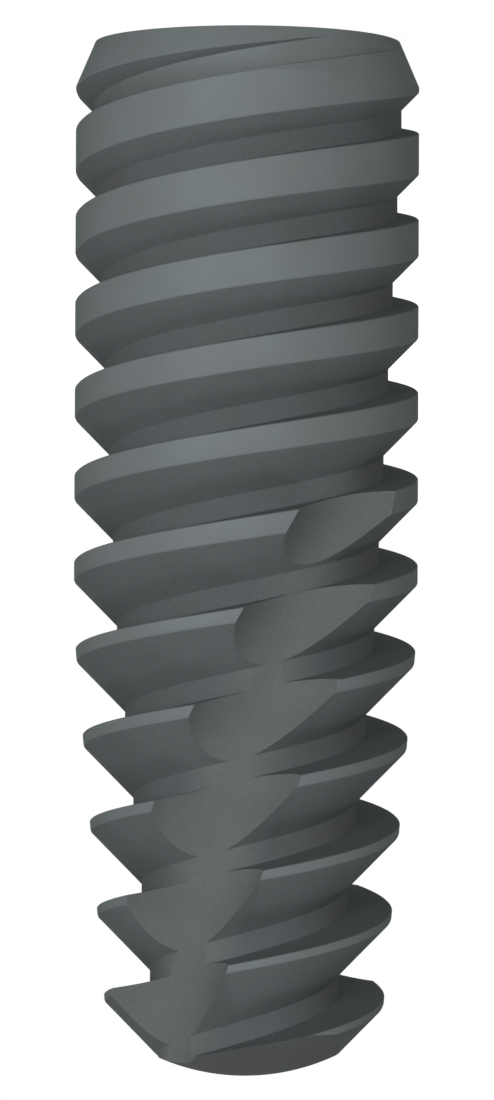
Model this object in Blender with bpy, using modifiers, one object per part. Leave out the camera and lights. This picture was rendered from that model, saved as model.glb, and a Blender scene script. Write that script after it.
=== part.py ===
"""Dental implant: the screw-shaped fixture that is set in the jaw bone.

It is one piece of titanium, turned from bar, with its thread and flutes milled into it.
Frame: metres, +Z along the screw's axis from the platform towards the tip. The origin is the middle
of the platform, the flat ring that carries the tooth's abutment, and the ring lies on Z = 0.
The front is -Y. The thread is right-handed and has two starts.
"""
from math import ceil, cos, floor, hypot, pi, radians, sin, sqrt, tan

import bmesh
import bpy

MM = 0.001

# Driving sizes in millimetres and degrees.

# The turned blank: a bevelled neck, a parallel part, a slow taper and a domed tip.
LENGTH = 12.61                    # platform to the top of the dome
THREAD_DIAMETER = 4.2             # over the crests of the parallel part
PLATFORM_DIAMETER = 3.732
BEVEL_HEIGHT = 0.544              # of the neck's bevel
PARALLEL_HEIGHT = 7.149           # where the parallel part ends and the taper starts
TAPER_ANGLE = 4.944               # of the crests to the axis, below the parallel part
DOME_RADIUS = 2.62                # of the sphere that ends the tip

# The thread: two equal grooves, half a turn apart. Each has a floor on the core, a nearly flat flank on
# the side of the tip and a slanted flank on the side of the platform.
PITCH = 1.0519                    # from crest to crest along the axis
STARTS = 2
FIRST_CREST = 1.594               # height of the first flat flank's foot at the front
GROOVE_FLOOR = 0.263              # width of the floor along the axis
FLAT_FLANK = 5.0                  # the flat flank's angle to a plane across the axis
SLANTED_FLANK = 45.0              # the slanted flank's angle to a plane across the axis
CORE_DIAMETER = 3.864             # of the core's cone, at the platform
CORE_ANGLE = 2.888                # of the core to the axis, beside the parallel part
CORE_TIP_ANGLE = 5.723            # of the core to the axis, beside the taper

# Two cutting flutes, half a turn apart, milled with a ball-ended cutter along a steep helix.
FLUTES = 2
FLUTE_RADIUS = 1.063              # of the round section, measured across the axis
FLUTE_FLOOR_RADIUS = 1.571        # from the axis to the flute's floor, where the taper starts
FLUTE_ANGLE = 6.093               # of the flute's floor to the axis
FLUTE_LEAD = 27.36
FLUTE_FRONT = 8.536               # height where the first flute faces the front
FLUTE_TOP = 5.600                 # height of the cutter's last place

# The connection inside: a bevelled mouth, a hexagonal socket and a drilled bore for the abutment's screw.
RING_WIDTH = 0.366                # of the flat platform around the mouth
MOUTH_ANGLE = 45.0                # of the mouth's bevel to the axis
HEX_ACROSS_FLATS = 2.42
HEX_DEPTH = 2.0
RELIEF_DIAMETER = 2.05            # clearance below the hexagon
RELIEF_DEPTH = 2.6
BORE_DIAMETER = 1.5
BORE_DEPTH = 6.5                  # of the bore's full diameter
DRILL_ANGLE = 118.0               # of the drilled bore's pointed end

# Fineness of the faceted surfaces.
TURN_SEGMENTS = 40                # round the axis
DOME_SEGMENTS = 8
FLUTE_SEGMENTS = 36               # round the flute's section
FLUTE_STEP = 6.0                  # degrees of turn between the flute's sections
BALL_SEGMENTS = 7
AIR = 0.15                        # how far a cutter stands clear of what it cuts

CREST_RADIUS = THREAD_DIAMETER / 2
PLATFORM_RADIUS = PLATFORM_DIAMETER / 2
LEAD = PITCH * STARTS
TAPER = tan(radians(TAPER_ANGLE))
FRONT = -pi / 2


def core_radius(height):
    """Radius of the core: one cone beside the parallel part, a steeper one beside the taper."""
    radius = CORE_DIAMETER / 2 - tan(radians(CORE_ANGLE)) * min(height, PARALLEL_HEIGHT)
    return radius - tan(radians(CORE_TIP_ANGLE)) * max(0.0, height - PARALLEL_HEIGHT)


def dome_corner():
    """Radius and height of the edge where the tapering side meets the dome."""
    centre = LENGTH - DOME_RADIUS
    side = CREST_RADIUS + TAPER * PARALLEL_HEIGHT
    a = 1 + TAPER ** 2
    b = side * TAPER + centre
    c = side ** 2 + centre ** 2 - DOME_RADIUS ** 2
    height = (b + sqrt(b ** 2 - a * c)) / a
    return side - TAPER * height, height


def blank_profile():
    """Outline of the blank as radius and height, from the dome's top down its outer side."""
    centre = LENGTH - DOME_RADIUS
    radius, height = dome_corner()
    points = [(0.0, LENGTH)]
    for step in range(1, DOME_SEGMENTS):
        r = radius * step / DOME_SEGMENTS
        points.append((r, centre + sqrt(DOME_RADIUS ** 2 - r ** 2)))
    points.append((radius, height))
    points.append((CREST_RADIUS, PARALLEL_HEIGHT))
    points.append((CREST_RADIUS, BEVEL_HEIGHT))
    points.append((PLATFORM_RADIUS, 0.0))
    points.append((0.0, 0.0))
    return points


def bore_profile():
    """Outline of the mouth, the relief and the bore, from the bore's pointed end down to the platform."""
    mouth = PLATFORM_RADIUS - RING_WIDTH
    bore = BORE_DIAMETER / 2
    relief = RELIEF_DIAMETER / 2
    hexagon = HEX_ACROSS_FLATS / 2
    slope = tan(radians(MOUTH_ANGLE))
    point = bore / tan(radians(DRILL_ANGLE / 2))
    return [
        (0.0, BORE_DEPTH + point),
        (bore, BORE_DEPTH),
        (bore, RELIEF_DEPTH + (relief - bore)),
        (relief, RELIEF_DEPTH),
        (relief, (mouth - hexagon) / slope + (hexagon - relief)),
        (hexagon, (mouth - hexagon) / slope),
        (mouth, 0.0),
        (mouth + AIR * slope, -AIR),
        (0.0, -AIR),
    ]


def turned(name, profile, collection):
    """A solid of revolution about Z from a profile of radius and height in millimetres."""
    mesh = bpy.data.meshes.new(name)
    points = [(r * MM, 0.0, z * MM) for r, z in profile]
    mesh.from_pydata(points, [(i, i + 1) for i in range(len(points) - 1)], [])
    obj = bpy.data.objects.new(name, mesh)
    collection.objects.link(obj)
    screw = obj.modifiers.new("Turning", "SCREW")
    screw.axis = "Z"
    screw.angle = 2 * pi
    screw.steps = TURN_SEGMENTS
    screw.render_steps = TURN_SEGMENTS
    screw.use_merge_vertices = True
    screw.merge_threshold = 0.000001
    screw.use_smooth_shade = True
    return obj


def lofted(name, sections, collection):
    """A closed solid through equal-sided sections, each a ring of points in millimetres."""
    bm = bmesh.new()
    rings = [[bm.verts.new([c * MM for c in point]) for point in section] for section in sections]
    count = len(rings[0])
    for ring, following in zip(rings, rings[1:]):
        for i in range(count):
            j = (i + 1) % count
            bm.faces.new((ring[i], ring[j], following[j], following[i]))
    bm.faces.new(rings[0])
    bm.faces.new(rings[-1])
    bmesh.ops.recalc_face_normals(bm, faces=bm.faces)
    bmesh.ops.triangulate(bm, faces=bm.faces)
    mesh = bpy.data.meshes.new(name)
    bm.to_mesh(mesh)
    bm.free()
    obj = bpy.data.objects.new(name, mesh)
    collection.objects.link(obj)
    return obj


def groove_sections():
    """Sections of one thread groove along its helix, from above the platform to beyond the tip.

    The section keeps its shape and moves inwards with the core, so the crests grow narrower where
    the core is slimmer and the floor runs along the axis. The sections lie between the blank's own
    edges, half a segment away.
    """
    outer = max(CREST_RADIUS, PLATFORM_RADIUS) + AIR
    first = floor((-AIR - FIRST_CREST) / LEAD * TURN_SEGMENTS)
    last = ceil((LENGTH + GROOVE_FLOOR + PITCH - FIRST_CREST) / LEAD * TURN_SEGMENTS)
    sections = []
    for step in range(first, last + 1):
        turn = (step + 0.5) / TURN_SEGMENTS
        foot = FIRST_CREST + LEAD * turn
        inner = foot - GROOVE_FLOOR
        root = core_radius(inner)
        outline = [
            (root, inner),
            (root, foot),
            (outer, foot + (outer - root) * tan(radians(FLAT_FLANK))),
            (outer, inner - (outer - root) * tan(radians(SLANTED_FLANK))),
        ]
        angle = FRONT + 2 * pi * turn
        sections.append([(r * cos(angle), r * sin(angle), z) for r, z in outline])
    return sections


def flute_sections():
    """Sections of one flute: the ball end at its top, then equal circles down to beyond the tip."""
    places = []
    for step in range(BALL_SEGMENTS):
        lean = radians(80.0) * (1 - step / BALL_SEGMENTS)
        places.append((FLUTE_TOP - FLUTE_RADIUS * sin(lean), FLUTE_RADIUS * cos(lean)))
    rise = FLUTE_LEAD * FLUTE_STEP / 360
    count = ceil((LENGTH + AIR - FLUTE_TOP) / rise)
    for step in range(count + 1):
        places.append((FLUTE_TOP + rise * step, FLUTE_RADIUS))
    sections = []
    for height, radius in places:
        floor_radius = FLUTE_FLOOR_RADIUS - tan(radians(FLUTE_ANGLE)) * (height - PARALLEL_HEIGHT)
        centre = floor_radius + FLUTE_RADIUS
        angle = FRONT + 2 * pi * (height - FLUTE_FRONT) / FLUTE_LEAD
        ring = []
        for i in range(FLUTE_SEGMENTS):
            way = angle + 2 * pi * i / FLUTE_SEGMENTS
            x = centre * cos(angle) + radius * cos(way)
            y = centre * sin(angle) + radius * sin(way)
            ring.append((x, y, height))
        sections.append(ring)
    return sections


def hexagon(name, collection):
    """The prism that leaves the hexagonal socket, with one flat towards the front."""
    depth = HEX_DEPTH + AIR
    bpy.ops.mesh.primitive_cylinder_add(
        vertices=6,
        radius=HEX_ACROSS_FLATS / 2 / cos(pi / 6) * MM,
        depth=depth * MM,
        location=(0.0, 0.0, (HEX_DEPTH - depth / 2) * MM),
        rotation=(0.0, 0.0, pi / 6),
    )
    obj = bpy.context.object
    obj.name = name
    for owner in list(obj.users_collection):
        owner.objects.unlink(obj)
    collection.objects.link(obj)
    return obj


def titanium():
    """Blasted titanium: grey with a slight green-blue cast, matt."""
    material = bpy.data.materials.new("blasted_titanium")
    material.use_nodes = True
    shader = material.node_tree.nodes["Principled BSDF"]
    shader.inputs["Base Color"].default_value = (0.235, 0.262, 0.262, 1.0)
    shader.inputs["Metallic"].default_value = 0.6
    shader.inputs["Roughness"].default_value = 0.62
    return material


for leftover in list(bpy.data.objects):
    bpy.data.objects.remove(leftover, do_unlink=True)

scene = bpy.context.scene
parts = bpy.data.collections.new("dental_implant")
cutters = bpy.data.collections.new("cutters")
scene.collection.children.link(parts)
scene.collection.children.link(cutters)

body = turned("implant_body", blank_profile(), parts)
body.data.materials.append(titanium())

tools = []
for start in range(STARTS):
    groove = lofted(f"groove_cutter_{start + 1}", groove_sections(), cutters)
    groove.rotation_euler.z = 2 * pi * start / STARTS
    tools.append(groove)
for number in range(FLUTES):
    flute = lofted(f"flute_cutter_{number + 1}", flute_sections(), cutters)
    flute.rotation_euler.z = 2 * pi * number / FLUTES
    tools.append(flute)
tools.append(hexagon("hexagon_cutter", cutters))
tools.append(turned("bore_cutter", bore_profile(), cutters))

for tool in tools:
    tool.hide_render = True
    tool.display_type = "WIRE"
    cut = body.modifiers.new(tool.name, "BOOLEAN")
    cut.operation = "DIFFERENCE"
    cut.solver = "EXACT"
    cut.object = tool

weld = body.modifiers.new("Weld", "WELD")
weld.merge_threshold = 0.000001
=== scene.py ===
"""Dental implant: the looks of the titanium fixture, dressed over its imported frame."""
from math import ceil, cos, floor, hypot, pi, radians, sin, sqrt, tan

import bmesh
import bpy
from mathutils import Matrix, Vector


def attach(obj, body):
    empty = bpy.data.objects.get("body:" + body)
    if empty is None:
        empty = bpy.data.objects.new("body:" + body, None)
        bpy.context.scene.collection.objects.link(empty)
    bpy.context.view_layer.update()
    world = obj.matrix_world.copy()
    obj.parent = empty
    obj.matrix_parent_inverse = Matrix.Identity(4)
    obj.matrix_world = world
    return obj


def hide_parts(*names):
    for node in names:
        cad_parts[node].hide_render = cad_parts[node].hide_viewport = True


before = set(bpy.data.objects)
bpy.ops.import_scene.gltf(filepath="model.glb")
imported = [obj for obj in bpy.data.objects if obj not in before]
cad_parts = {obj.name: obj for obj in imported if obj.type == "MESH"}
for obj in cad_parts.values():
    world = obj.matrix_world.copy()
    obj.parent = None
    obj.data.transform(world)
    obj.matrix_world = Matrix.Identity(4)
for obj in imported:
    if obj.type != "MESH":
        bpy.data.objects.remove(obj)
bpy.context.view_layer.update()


# The turned blank. The real fixture starts as a bar of titanium, turned to a bevelled neck, a parallel
# part, a slow taper and a domed tip. Here a cylinder is cut into rings, and each ring drawn to its radius.
MM = 0.001
LENGTH = 12.61
CREST_RADIUS = 2.1
PLATFORM_RADIUS = 1.866
BEVEL_HEIGHT = 0.544
PARALLEL_HEIGHT = 7.149
TAPER = tan(radians(4.944))
DOME_RADIUS = 2.62
FACETS = 192
DOME_RINGS = 22


def dome_edge():
    """Radius and height of the edge where the tapering side meets the dome."""
    centre = LENGTH - DOME_RADIUS
    side = CREST_RADIUS + TAPER * PARALLEL_HEIGHT
    a = 1 + TAPER ** 2
    b = side * TAPER + centre
    c = side ** 2 + centre ** 2 - DOME_RADIUS ** 2
    height = (b + sqrt(b ** 2 - a * c)) / a
    return side - TAPER * height, height


def crest_radius(height):
    """Radius of the blank's side at a height: bevel, parallel part or taper."""
    if height < BEVEL_HEIGHT:
        return PLATFORM_RADIUS + (CREST_RADIUS - PLATFORM_RADIUS) * height / BEVEL_HEIGHT
    return CREST_RADIUS - TAPER * max(0.0, height - PARALLEL_HEIGHT)


def turned_bar(name, outline, facets):
    """A cylinder cut at each height of an outline, whose rings are then drawn to their radius."""
    low, high = outline[0][1], outline[-1][1]
    widest = max(radius for radius, _ in outline)
    bpy.ops.object.select_all(action="DESELECT")
    bpy.ops.mesh.primitive_cylinder_add(
        vertices=facets,
        radius=widest * MM,
        depth=(high - low) * MM,
        location=(0, 0, (low + high) / 2 * MM),
        rotation=(0, 0, pi / facets),
    )
    bar = bpy.context.object
    bar.name = name
    bpy.ops.object.transform_apply(location=True, rotation=True, scale=True)
    bpy.ops.object.mode_set(mode="EDIT")
    for _, height in outline[1:-1]:
        bpy.ops.mesh.select_all(action="SELECT")
        bpy.ops.mesh.bisect(plane_co=(0, 0, height * MM), plane_no=(0, 0, 1), threshold=1e-8)
    for radius, height in outline:
        bpy.ops.mesh.select_all(action="DESELECT")
        shape = bmesh.from_edit_mesh(bar.data)
        for vertex in shape.verts:
            vertex.select = abs(vertex.co.z - height * MM) < 1e-7
        shape.select_flush(True)
        bmesh.update_edit_mesh(bar.data)
        if radius == 0:
            bpy.ops.mesh.merge(type="CENTER")
        else:
            factor = radius / widest
            bpy.ops.transform.resize(value=(factor, factor, 1), center_override=(0, 0, height * MM))
    bpy.ops.object.mode_set(mode="OBJECT")
    return bar


edge_radius, edge_height = dome_edge()
bar_outline = [
    (PLATFORM_RADIUS, 0.0),
    (CREST_RADIUS, BEVEL_HEIGHT),
    (CREST_RADIUS, PARALLEL_HEIGHT),
    (edge_radius, edge_height),
]
for ring in range(DOME_RINGS - 1, 0, -1):
    r = edge_radius * ring / DOME_RINGS
    bar_outline.append((r, LENGTH - DOME_RADIUS + sqrt(DOME_RADIUS ** 2 - r ** 2)))
bar_outline.append((0.0, LENGTH))
implant = turned_bar("implant_titanium", bar_outline, FACETS)


# The thread. Two equal grooves are milled half a turn apart; what stays between them is the crest. The
# cutter moves inwards with the tapering core, which Screw can't do, so its path is lofted by section.
LEAD = 2 * 1.0519
FIRST_CREST = 1.594
GROOVE_FLOOR = 0.263
FLAT_LEAN = tan(radians(5))
CORE_RADIUS = 1.932
CORE_SLOPE = tan(radians(2.888))
CORE_TIP_SLOPE = tan(radians(5.723))
NECK_CORE_RADIUS = 1.912
NECK_CORE_SLOPE = 0.034
CREST_CHAMFER = 0.012
CREST_CHAMFER_TURN = 67.5
ROOT_RADIUS = 0.018
ROOT_TURNS = (45, 30, 15, 0)
FOOT_TURNS = (0, 42, 84)
CREST_LEVEL = 0.05
CREST_ROUNDS = 3
AIR = 0.04
BEFORE_PLATFORM = 0.1
PAST_TIP = 1.3
FRONT = -pi / 2


def core_radius(height):
    """Radius of the core: a slow cone beside the neck, then one beside each part of the thread."""
    radius = CORE_RADIUS - CORE_SLOPE * min(height, PARALLEL_HEIGHT)
    radius -= CORE_TIP_SLOPE * max(0.0, height - PARALLEL_HEIGHT)
    return min(radius, NECK_CORE_RADIUS - NECK_CORE_SLOPE * height)


def lofted(name, sections):
    """A closed solid through rings of points in millimetres, all with the same number of points."""
    shape = bmesh.new()
    rings = [[shape.verts.new([c * MM for c in point]) for point in section] for section in sections]
    count = len(rings[0])
    for ring, following in zip(rings, rings[1:]):
        for i in range(count):
            j = (i + 1) % count
            shape.faces.new((ring[i], ring[j], following[j], following[i]))
    shape.faces.new(rings[0])
    shape.faces.new(rings[-1])
    bmesh.ops.recalc_face_normals(shape, faces=shape.faces)
    bmesh.ops.triangulate(shape, faces=shape.faces)
    mesh = bpy.data.meshes.new(name)
    shape.to_mesh(mesh)
    shape.free()
    solid = bpy.data.objects.new(name, mesh)
    bpy.context.scene.collection.objects.link(solid)
    return solid


def half_turned(sections):
    """The same rings of points, half a turn on round the axis."""
    return [[(-x, -y, z) for x, y, z in section] for section in sections]


def groove_section(foot):
    """The cutter's outline, as radius and height, where the foot of its flat side is at this height.

    It goes round the root's fillets on the core, the flat side, the crest's broken edge, the air
    outside, the next crest's broken edge and the slanted side, which runs at 45 degrees. The cutter's
    shape stays the same, so the groove's floor runs along the axis even where the core tapers.
    """
    inner = foot - GROOVE_FLOOR
    root = core_radius(inner)
    fillet_reach = ROOT_RADIUS * tan(radians(22.5))
    outline = []
    for turn in ROOT_TURNS:
        lean = radians(turn)
        height = inner + fillet_reach - ROOT_RADIUS * sin(lean)
        outline.append((root + ROOT_RADIUS * (1 - cos(lean)), height))
    small = ROOT_RADIUS / 2
    for turn in FOOT_TURNS:
        lean = radians(turn)
        height = foot + small * (sin(lean) - tan(radians(FOOT_TURNS[1])))
        outline.append((root + small * (1 - cos(lean)), height))
    crest = max(crest_radius(max(foot + CREST_LEVEL, 0.0)), root + ROOT_RADIUS)
    edge = foot + FLAT_LEAN * (crest - CREST_CHAMFER - root)
    outline.append((crest - CREST_CHAMFER, edge))
    outline.append((crest + AIR, edge + CREST_CHAMFER + AIR))
    meeting = inner - (crest_radius(max(inner, 0.0)) - root)
    for _ in range(CREST_ROUNDS):
        meeting = inner - (crest_radius(max(meeting, 0.0)) - root)
    crest = max(crest_radius(max(meeting, 0.0)), root + 2 * ROOT_RADIUS)
    start = crest - CREST_CHAMFER * 0.7
    end = crest + AIR
    outline.append((end, inner - (start - root) - (end - start) * tan(radians(CREST_CHAMFER_TURN))))
    outline.append((start, inner - (start - root)))
    return outline


groove_sections = []
first_section = floor((-BEFORE_PLATFORM - FIRST_CREST) / LEAD * FACETS)
last_section = ceil((LENGTH + PAST_TIP - FIRST_CREST) / LEAD * FACETS)
for step in range(first_section, last_section + 1):
    angle = FRONT + 2 * pi * step / FACETS
    section = groove_section(FIRST_CREST + LEAD * step / FACETS)
    groove_sections.append([(r * cos(angle), r * sin(angle), z) for r, z in section])
cutters = [lofted("groove", groove_sections), lofted("groove", half_turned(groove_sections))]


# The flutes. Two channels cross the thread along a steep helix, cut with a ball-ended mill that leaves a
# round floor; they let the implant cut its own way into the bone and carry the chips.
FLUTE_RADIUS = 1.063
FLUTE_FLOOR = 1.571
FLUTE_SLOPE = tan(radians(6.093))
FLUTE_LEAD = 27.36
FLUTE_FRONT = 8.536
FLUTE_TOP = 5.600
FLUTE_FACETS = 112
FLUTE_STEP = 0.12
FLUTE_PAST_TIP = 0.2
BALL_RINGS = 24
BALL_START = radians(80.0)


def flute_circle(height):
    """Centre, direction and radius of the mill's cut at a height, with its round end at the top."""
    centre = FLUTE_FLOOR - FLUTE_SLOPE * (height - PARALLEL_HEIGHT) + FLUTE_RADIUS
    angle = FRONT + 2 * pi * (height - FLUTE_FRONT) / FLUTE_LEAD
    above = min(FLUTE_RADIUS, max(0.0, FLUTE_TOP - height))
    return centre * cos(angle), centre * sin(angle), angle, sqrt(FLUTE_RADIUS ** 2 - above ** 2)


flute_heights = []
for step in range(BALL_RINGS):
    lean = BALL_START * (1 - step / BALL_RINGS)
    flute_heights.append(FLUTE_TOP - FLUTE_RADIUS * sin(lean))
for step in range(ceil((LENGTH + FLUTE_PAST_TIP - FLUTE_TOP) / FLUTE_STEP) + 1):
    flute_heights.append(FLUTE_TOP + FLUTE_STEP * step)
flute_sections = []
for height in flute_heights:
    x, y, angle, radius = flute_circle(height)
    section = []
    for i in range(FLUTE_FACETS):
        way = angle + 2 * pi * (i + 0.5) / FLUTE_FACETS
        section.append((x + radius * cos(way), y + radius * sin(way), height))
    flute_sections.append(section)
cutters.append(lofted("flute", flute_sections))
cutters.append(lofted("flute", half_turned(flute_sections)))


# The connection inside the neck. A bevelled mouth leads to a broached hexagon that keys the abutment, then
# to a drilled and tapped hole for its screw. The platform's flat ring around the mouth stays as turned.
MOUTH_RADIUS = 1.5
HEX_FLAT = 1.21
HEX_DEPTH = 2.0
RELIEF_RADIUS = 1.025
RELIEF_DEPTH = 2.6
BORE_RADIUS = 0.75
BORE_DEPTH = 6.5
BORE_FACETS = 96
DRILL_HALF_ANGLE = 59
HEX_CORNER = 0.06
BELOW_PLATFORM = 0.2
SCREW_PITCH = 0.35
SCREW_TURNS = 9
SCREW_FACETS = 60
TAP_RADIUS = 0.13
TAP_DEPTH = 0.03
TAP_START = 0.45

bore_outline = [
    (MOUTH_RADIUS + 0.1, -0.1),
    (HEX_FLAT, MOUTH_RADIUS - HEX_FLAT),
    (RELIEF_RADIUS, MOUTH_RADIUS - RELIEF_RADIUS),
    (RELIEF_RADIUS, RELIEF_DEPTH),
    (BORE_RADIUS, RELIEF_DEPTH + RELIEF_RADIUS - BORE_RADIUS),
    (BORE_RADIUS, BORE_DEPTH),
    (0.0, BORE_DEPTH + BORE_RADIUS / tan(radians(DRILL_HALF_ANGLE))),
]
cutters.append(turned_bar("bore", bore_outline, BORE_FACETS))

bpy.ops.object.select_all(action="DESELECT")
bpy.ops.mesh.primitive_cylinder_add(
    vertices=6,
    radius=HEX_FLAT / cos(pi / 6) * MM,
    depth=(HEX_DEPTH + BELOW_PLATFORM) * MM,
    location=(0, 0, (HEX_DEPTH - BELOW_PLATFORM) / 2 * MM),
    rotation=(0, 0, pi / 6),
)
cutters.append(bpy.context.object)
bpy.ops.object.transform_apply(location=True, rotation=True, scale=True)
bpy.ops.object.mode_set(mode="EDIT")
bpy.ops.mesh.select_all(action="DESELECT")
shape = bmesh.from_edit_mesh(bpy.context.object.data)
for side in shape.edges:
    side.select = abs(side.verts[0].co.z - side.verts[1].co.z) > 1 * MM
bmesh.update_edit_mesh(bpy.context.object.data)
bpy.ops.mesh.bevel(offset=HEX_CORNER * MM, segments=3)
bpy.ops.object.mode_set(mode="OBJECT")

bpy.ops.mesh.primitive_circle_add(
    vertices=3,
    radius=TAP_RADIUS * MM,
    location=((BORE_RADIUS + TAP_DEPTH) * MM, 0, (RELIEF_DEPTH + TAP_START) * MM),
    rotation=(pi / 2, pi / 2, 0),
)
tap = bpy.context.object
bpy.ops.object.transform_apply(location=True, rotation=True, scale=True)
turning = tap.modifiers.new("Tapping", "SCREW")
turning.screw_offset = SCREW_PITCH * MM
turning.iterations = SCREW_TURNS
turning.steps = SCREW_FACETS
turning.render_steps = SCREW_FACETS
turning.use_merge_vertices = False
bpy.ops.object.modifier_apply(modifier=turning.name)
bpy.ops.object.mode_set(mode="EDIT")
bpy.ops.mesh.select_all(action="SELECT")
bpy.ops.mesh.fill_holes(sides=3)
bpy.ops.mesh.quads_convert_to_tris()
bpy.ops.mesh.normals_make_consistent(inside=False)
bpy.ops.object.mode_set(mode="OBJECT")
cutters.append(tap)

for cutter in cutters:
    cut = implant.modifiers.new("Cut", "BOOLEAN")
    cut.operation = "DIFFERENCE"
    cut.solver = "EXACT"
    cut.object = cutter
    with bpy.context.temp_override(object=implant, active_object=implant, selected_objects=[implant]):
        bpy.ops.object.modifier_apply(modifier=cut.name)
    bpy.data.objects.remove(cutter, do_unlink=True)

bpy.ops.object.select_all(action="DESELECT")
implant.select_set(True)
bpy.context.view_layer.objects.active = implant
bpy.ops.object.mode_set(mode="EDIT")
bpy.ops.mesh.select_all(action="SELECT")
bpy.ops.mesh.remove_doubles(threshold=0.0003 * MM)
bpy.ops.object.mode_set(mode="OBJECT")
bpy.ops.object.shade_smooth_by_angle(angle=radians(23), keep_sharp_edges=False)
even = implant.modifiers.new("Even shading", "WEIGHTED_NORMAL")
even.keep_sharp = True
bpy.ops.object.modifier_apply(modifier=even.name)


# The surface and its painted shade. The whole fixture is blasted and acid-etched, so the bone can hold it,
# and is matt all over; the turned neck and crests are a little smoother.
# Painted shade: the crests and the neck are painted lightest, where most light falls, and the grooves,
# their floors and the domed end darkest, where they lie in shade.
DOME, GROOVE, FLOOR, FLUTE, TURNED, NECK = 0.0, 0.2, 0.4, 0.6, 0.8, 1.0
PAINTED_LIGHT_NEAR_FLUTE = 0.3


def finish_and_painted_shade_of(face):
    """Which zone a face lies in, told by where it lies and the way it faces; the zone sets its sheen and
    its painted shade.
    """
    x, y, z = (c / MM for c in face.center)
    radius = hypot(x, y)
    if z < 0.001:
        return NECK
    if z < edge_height and abs(radius - crest_radius(z)) < CREST_CHAMFER and face.normal.z < 0.55:
        return NECK if z < BEVEL_HEIGHT else TURNED
    if z > edge_height and abs(hypot(radius, z - LENGTH + DOME_RADIUS) - DOME_RADIUS) < 0.01:
        return DOME
    flute_x, flute_y = flute_circle(z)[:2]
    nearest = PAINTED_LIGHT_NEAR_FLUTE
    for side in (-1, 1):
        inwards = Vector((side * flute_x - x, side * flute_y - y, max(0.0, FLUTE_TOP - z)))
        gap = abs(inwards.length - FLUTE_RADIUS)
        if gap < 0.004 and inwards.normalized().dot(face.normal) > 0.8:
            return FLUTE
        nearest = min(nearest, gap)
    # Painted light: the flank of the low step in the neck is painted in the crests' lighter tone, as little
    # shade falls on it.
    if z < BEVEL_HEIGHT and face.normal.z < -0.5:  # the step where a groove runs out in the neck
        return TURNED
    if abs(radius - core_radius(z)) > 0.04 or abs(face.normal.z) > 0.5:
        return GROOVE
    # Painted shade: a groove's floor is painted darker the farther it lies from a flute, as the flute lets
    # light in near it.
    return FLUTE + (FLOOR - FLUTE) * nearest / PAINTED_LIGHT_NEAR_FLUTE


finish_and_painted_shade_layer = implant.data.attributes.new("finish_and_painted_shade", "FLOAT", "FACE")
finish_and_painted_shade_layer.data.foreach_set("value", [finish_and_painted_shade_of(face) for face in implant.data.polygons])

titanium = bpy.data.materials.new("etched_titanium_with_painted_shade")
titanium.use_nodes = True
nodes = titanium.node_tree.nodes
links = titanium.node_tree.links
shader = nodes["Principled BSDF"]
shader.inputs["Specular IOR Level"].default_value = 0.0
shader.inputs["Specular Tint"].default_value = (0.35, 0.35, 0.35, 1)

place = nodes.new("ShaderNodeTexCoord")
kept_finish_and_painted_shade = nodes.new("ShaderNodeAttribute")
kept_finish_and_painted_shade.attribute_name = "finish_and_painted_shade"


def between(value, low, high, first, last):
    """Maps a value from one range to another, and holds it at the ends."""
    change = nodes.new("ShaderNodeMapRange")
    change.inputs["From Min"].default_value = low
    change.inputs["From Max"].default_value = high
    change.inputs["To Min"].default_value = first
    change.inputs["To Max"].default_value = last
    links.new(value, change.inputs["Value"])
    return change.outputs["Result"]


def worked(kind, first, second):
    """Combines two values by a named kind of sum; the second may be a number."""
    work = nodes.new("ShaderNodeMath")
    work.operation = kind
    links.new(first, work.inputs[0])
    if isinstance(second, float):
        work.inputs[1].default_value = second
    else:
        links.new(second, work.inputs[1])
    return work.outputs[0]


def grain(scale, detail, roughness=0.55):
    """A noise pattern fixed to the metal; scale is in features per metre."""
    pattern = nodes.new("ShaderNodeTexNoise")
    pattern.inputs["Scale"].default_value = scale
    pattern.inputs["Detail"].default_value = detail
    pattern.inputs["Roughness"].default_value = roughness
    links.new(place.outputs["Object"], pattern.inputs["Vector"])
    return pattern.outputs["Fac"]


def tones(value, *stops):
    """Maps a value to colours, given as stops of position and colour."""
    ramp = nodes.new("ShaderNodeValToRGB")
    points = ramp.color_ramp.elements
    while len(points) < len(stops):
        points.new(0.5)
    for point, (position, colour) in zip(points, stops):
        point.position = position
        point.color = (*colour, 1)
    links.new(value, ramp.inputs["Fac"])
    return ramp.outputs["Color"]


def multiplied(first, second, amount=None):
    """Multiplies two colours, in full or by an amount."""
    mix = nodes.new("ShaderNodeMix")
    mix.data_type = "RGBA"
    mix.blend_type = "MULTIPLY"
    mix.inputs["Factor"].default_value = 1.0
    if amount is not None:
        links.new(amount, mix.inputs["Factor"])
    links.new(first, mix.inputs["A"])
    links.new(second, mix.inputs["B"])
    return mix.outputs["Result"]


# Painted light: where a groove runs out in the neck it is barely deep, and its floor is painted up to the
# crests' lighter tone, as little shade falls in it.
height = nodes.new("ShaderNodeSeparateXYZ")
links.new(place.outputs["Object"], height.inputs[0])
painted_light_where_shallow = between(height.outputs["Z"], 0.33 * MM, 0.95 * MM, TURNED, FLOOR)
on_floor = worked("GREATER_THAN", kept_finish_and_painted_shade.outputs["Fac"], 0.3)
finish_and_painted_shade = worked("MAXIMUM", kept_finish_and_painted_shade.outputs["Fac"], worked("MULTIPLY", painted_light_where_shallow, on_floor))

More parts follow.
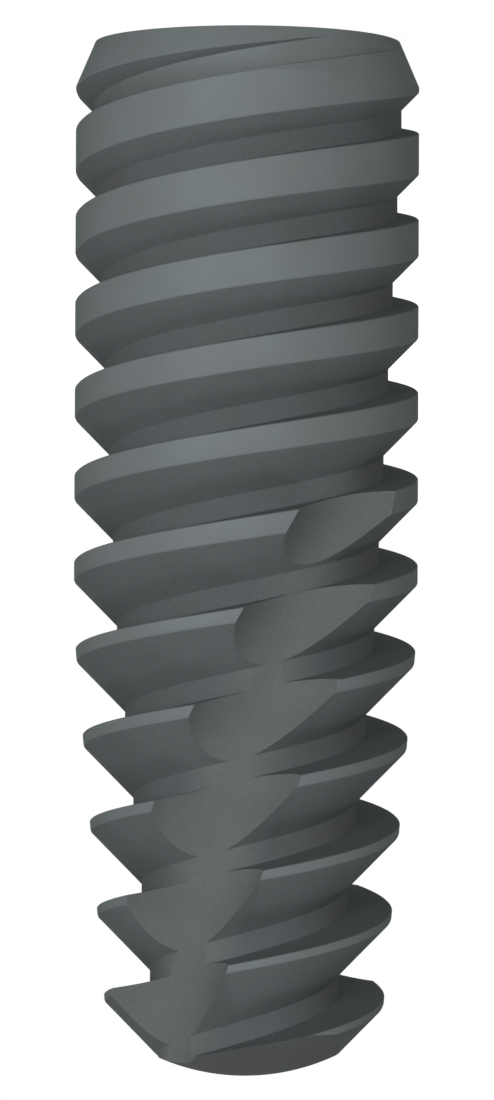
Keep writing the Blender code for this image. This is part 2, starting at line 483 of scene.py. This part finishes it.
# Painted shade: these tones make the grooves, their floors and the domed end darker and the crests and neck
# lighter, standing in for the shade and light that fall on them.
tones_with_painted_shade = tones(
    finish_and_painted_shade,
    (DOME, (0.122, 0.128, 0.134)),
    (GROOVE, (0.134, 0.147, 0.151)),
    (FLOOR, (0.129, 0.137, 0.142)),
    (FLUTE, (0.154, 0.170, 0.172)),
    (TURNED, (0.178, 0.200, 0.202)),
    (NECK, (0.192, 0.216, 0.218)),
)
clouds = tones(grain(1300, 4), (0.38, (0.98, 0.97, 0.97)), (0.64, (1.02, 1.03, 1.03)))
speckle = tones(grain(34000, 3, 0.7), (0.30, (0.90, 0.90, 0.90)), (0.70, (1.08, 1.08, 1.08)))
colour = multiplied(multiplied(tones_with_painted_shade, clouds), speckle, between(finish_and_painted_shade, FLUTE, TURNED, 1.0, 0.1))
links.new(colour, shader.inputs["Base Color"])
links.new(between(finish_and_painted_shade, FLUTE, TURNED, 0.30, 0.20), shader.inputs["Metallic"])
links.new(between(finish_and_painted_shade, FLUTE, TURNED, 0.80, 0.60), shader.inputs["Roughness"])

pits = nodes.new("ShaderNodeBump")
pits.inputs["Strength"].default_value = 0.25
pits.inputs["Distance"].default_value = 0.012 * MM
links.new(grain(26000, 3, 0.6), pits.inputs["Height"])
links.new(pits.outputs["Normal"], shader.inputs["Normal"])

implant.data.materials.clear()
implant.data.materials.append(titanium)
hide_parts("implant_body")
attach(implant, "root")


# The floor. The implant stands on its platform on a pale sheet, which the camera sees as white, and which
# still takes the shadow around the neck.
bpy.ops.object.select_all(action="DESELECT")
bpy.ops.mesh.primitive_grid_add(x_subdivisions=2, y_subdivisions=2, size=400 * MM, location=(0, 0, 0))
sheet = bpy.context.object
sheet.name = "pale_floor"
paper = bpy.data.materials.new("pale_paper")
paper.use_nodes = True
nodes = paper.node_tree.nodes
links = paper.node_tree.links
matt = nodes["Principled BSDF"]
matt.inputs["Base Color"].default_value = (0.5, 0.5, 0.5, 1)
matt.inputs["Roughness"].default_value = 0.9
matt.inputs["Specular IOR Level"].default_value = 0.0


def seen_rays():
    """1 for the rays of the camera, of mirrors and of clear things, and 0 for the rays that light."""
    rays = nodes.new("ShaderNodeLightPath")
    either = worked("MAXIMUM", rays.outputs["Is Camera Ray"], rays.outputs["Is Glossy Ray"])
    return worked("MAXIMUM", either, rays.outputs["Is Transmission Ray"])


glow = nodes.new("ShaderNodeEmission")
glow.inputs["Color"].default_value = (1, 1, 1, 1)
where = nodes.new("ShaderNodeTexCoord")
apart = nodes.new("ShaderNodeVectorMath")
apart.operation = "LENGTH"
links.new(where.outputs["Object"], apart.inputs[0])
paleness = between(apart.outputs["Value"], 8 * MM, 40 * MM, 0.92, 1.0)
links.new(worked("MULTIPLY", seen_rays(), paleness), glow.inputs["Strength"])
sum_up = nodes.new("ShaderNodeAddShader")
links.new(matt.outputs[0], sum_up.inputs[0])
links.new(glow.outputs[0], sum_up.inputs[1])
links.new(sum_up.outputs[0], nodes["Material Output"].inputs["Surface"])
sheet.data.materials.append(paper)


# The camera. The photograph shows the implant with its platform up, almost level and from close by. The
# implant stands on its platform here, so the camera is turned upside down.
PIXEL = 0.012229 * MM
PHOTO_HEIGHT = 1100
PHOTO_MIDDLE = 247
AXIS_COLUMN = 245.94
CAMERA_DISTANCE = 4832.1 * PIXEL
AIM_HEIGHT = 507.06 * PIXEL
TILT = 0.01273
ROLL = 0.0038
SENSOR = 36
lens = bpy.data.cameras.new("camera")
lens.sensor_width = SENSOR
lens.lens = SENSOR * CAMERA_DISTANCE / (PHOTO_HEIGHT * PIXEL)
lens.clip_start = 1 * MM
lens.clip_end = 10
lens.shift_x = (PHOTO_MIDDLE - AXIS_COLUMN) / PHOTO_HEIGHT
camera = bpy.data.objects.new("camera", lens)
bpy.context.scene.collection.objects.link(camera)
back = Vector((0, -cos(TILT), sin(TILT)))
right = Vector((-1, 0, 0))
upward = back.cross(right)
turned_right = right * cos(ROLL) + upward * sin(ROLL)
turned_up = upward * cos(ROLL) - right * sin(ROLL)
view = Matrix((turned_right, turned_up, back)).transposed().to_4x4()
view.translation = Vector((0, 0, AIM_HEIGHT)) + back * CAMERA_DISTANCE
camera.matrix_world = view
bpy.context.scene.camera = camera


# The light. Two low, wide lamps stand beside the camera, and weaker ones at the side, above and behind. The
# white surroundings are only seen and mirrored, and light next to nothing.
LAMP_DISTANCE = 0.12


def lamp(name, azimuth, elevation, power):
    """A flat lamp that faces the implant's middle; azimuth 0 is the camera's, and 90 is +X."""
    light = bpy.data.lights.new(name, "AREA")
    light.energy = power
    light.shape = "RECTANGLE"
    light.size = 40 * MM
    light.size_y = 10 * MM
    holder = bpy.data.objects.new(name, light)
    bpy.context.scene.collection.objects.link(holder)
    a = radians(azimuth)
    e = radians(elevation)
    way = Vector((sin(a) * cos(e), -cos(a) * cos(e), sin(e)))
    holder.location = Vector((0, 0, AIM_HEIGHT)) + way * LAMP_DISTANCE
    holder.rotation_euler = way.to_track_quat("Z", "Y").to_euler()


lamp("front_left", 30, 0, 0.0518)
lamp("front_right", -10, 0, 0.0515)
lamp("side", 90, 0, 0.0120)
lamp("upper_left", 45, 60, 0.0085)
lamp("upper_right", -60, 50, 0.0110)
lamp("back", 180, 35, 0.0250)

world = bpy.data.worlds.new("surroundings")
bpy.context.scene.world = world
world.use_nodes = True
nodes = world.node_tree.nodes
links = world.node_tree.links
room = nodes["Background"]
room.inputs["Color"].default_value = (1, 1, 1, 1)
room.inputs["Strength"].default_value = 0.02
white = nodes.new("ShaderNodeBackground")
white.inputs["Color"].default_value = (1, 1, 1, 1)
white.inputs["Strength"].default_value = 1.0
choice = nodes.new("ShaderNodeMixShader")
links.new(seen_rays(), choice.inputs["Fac"])
links.new(room.outputs[0], choice.inputs[1])
links.new(white.outputs[0], choice.inputs[2])
links.new(choice.outputs[0], nodes["World Output"].inputs["Surface"])

bpy.context.scene.view_settings.view_transform = "Standard"
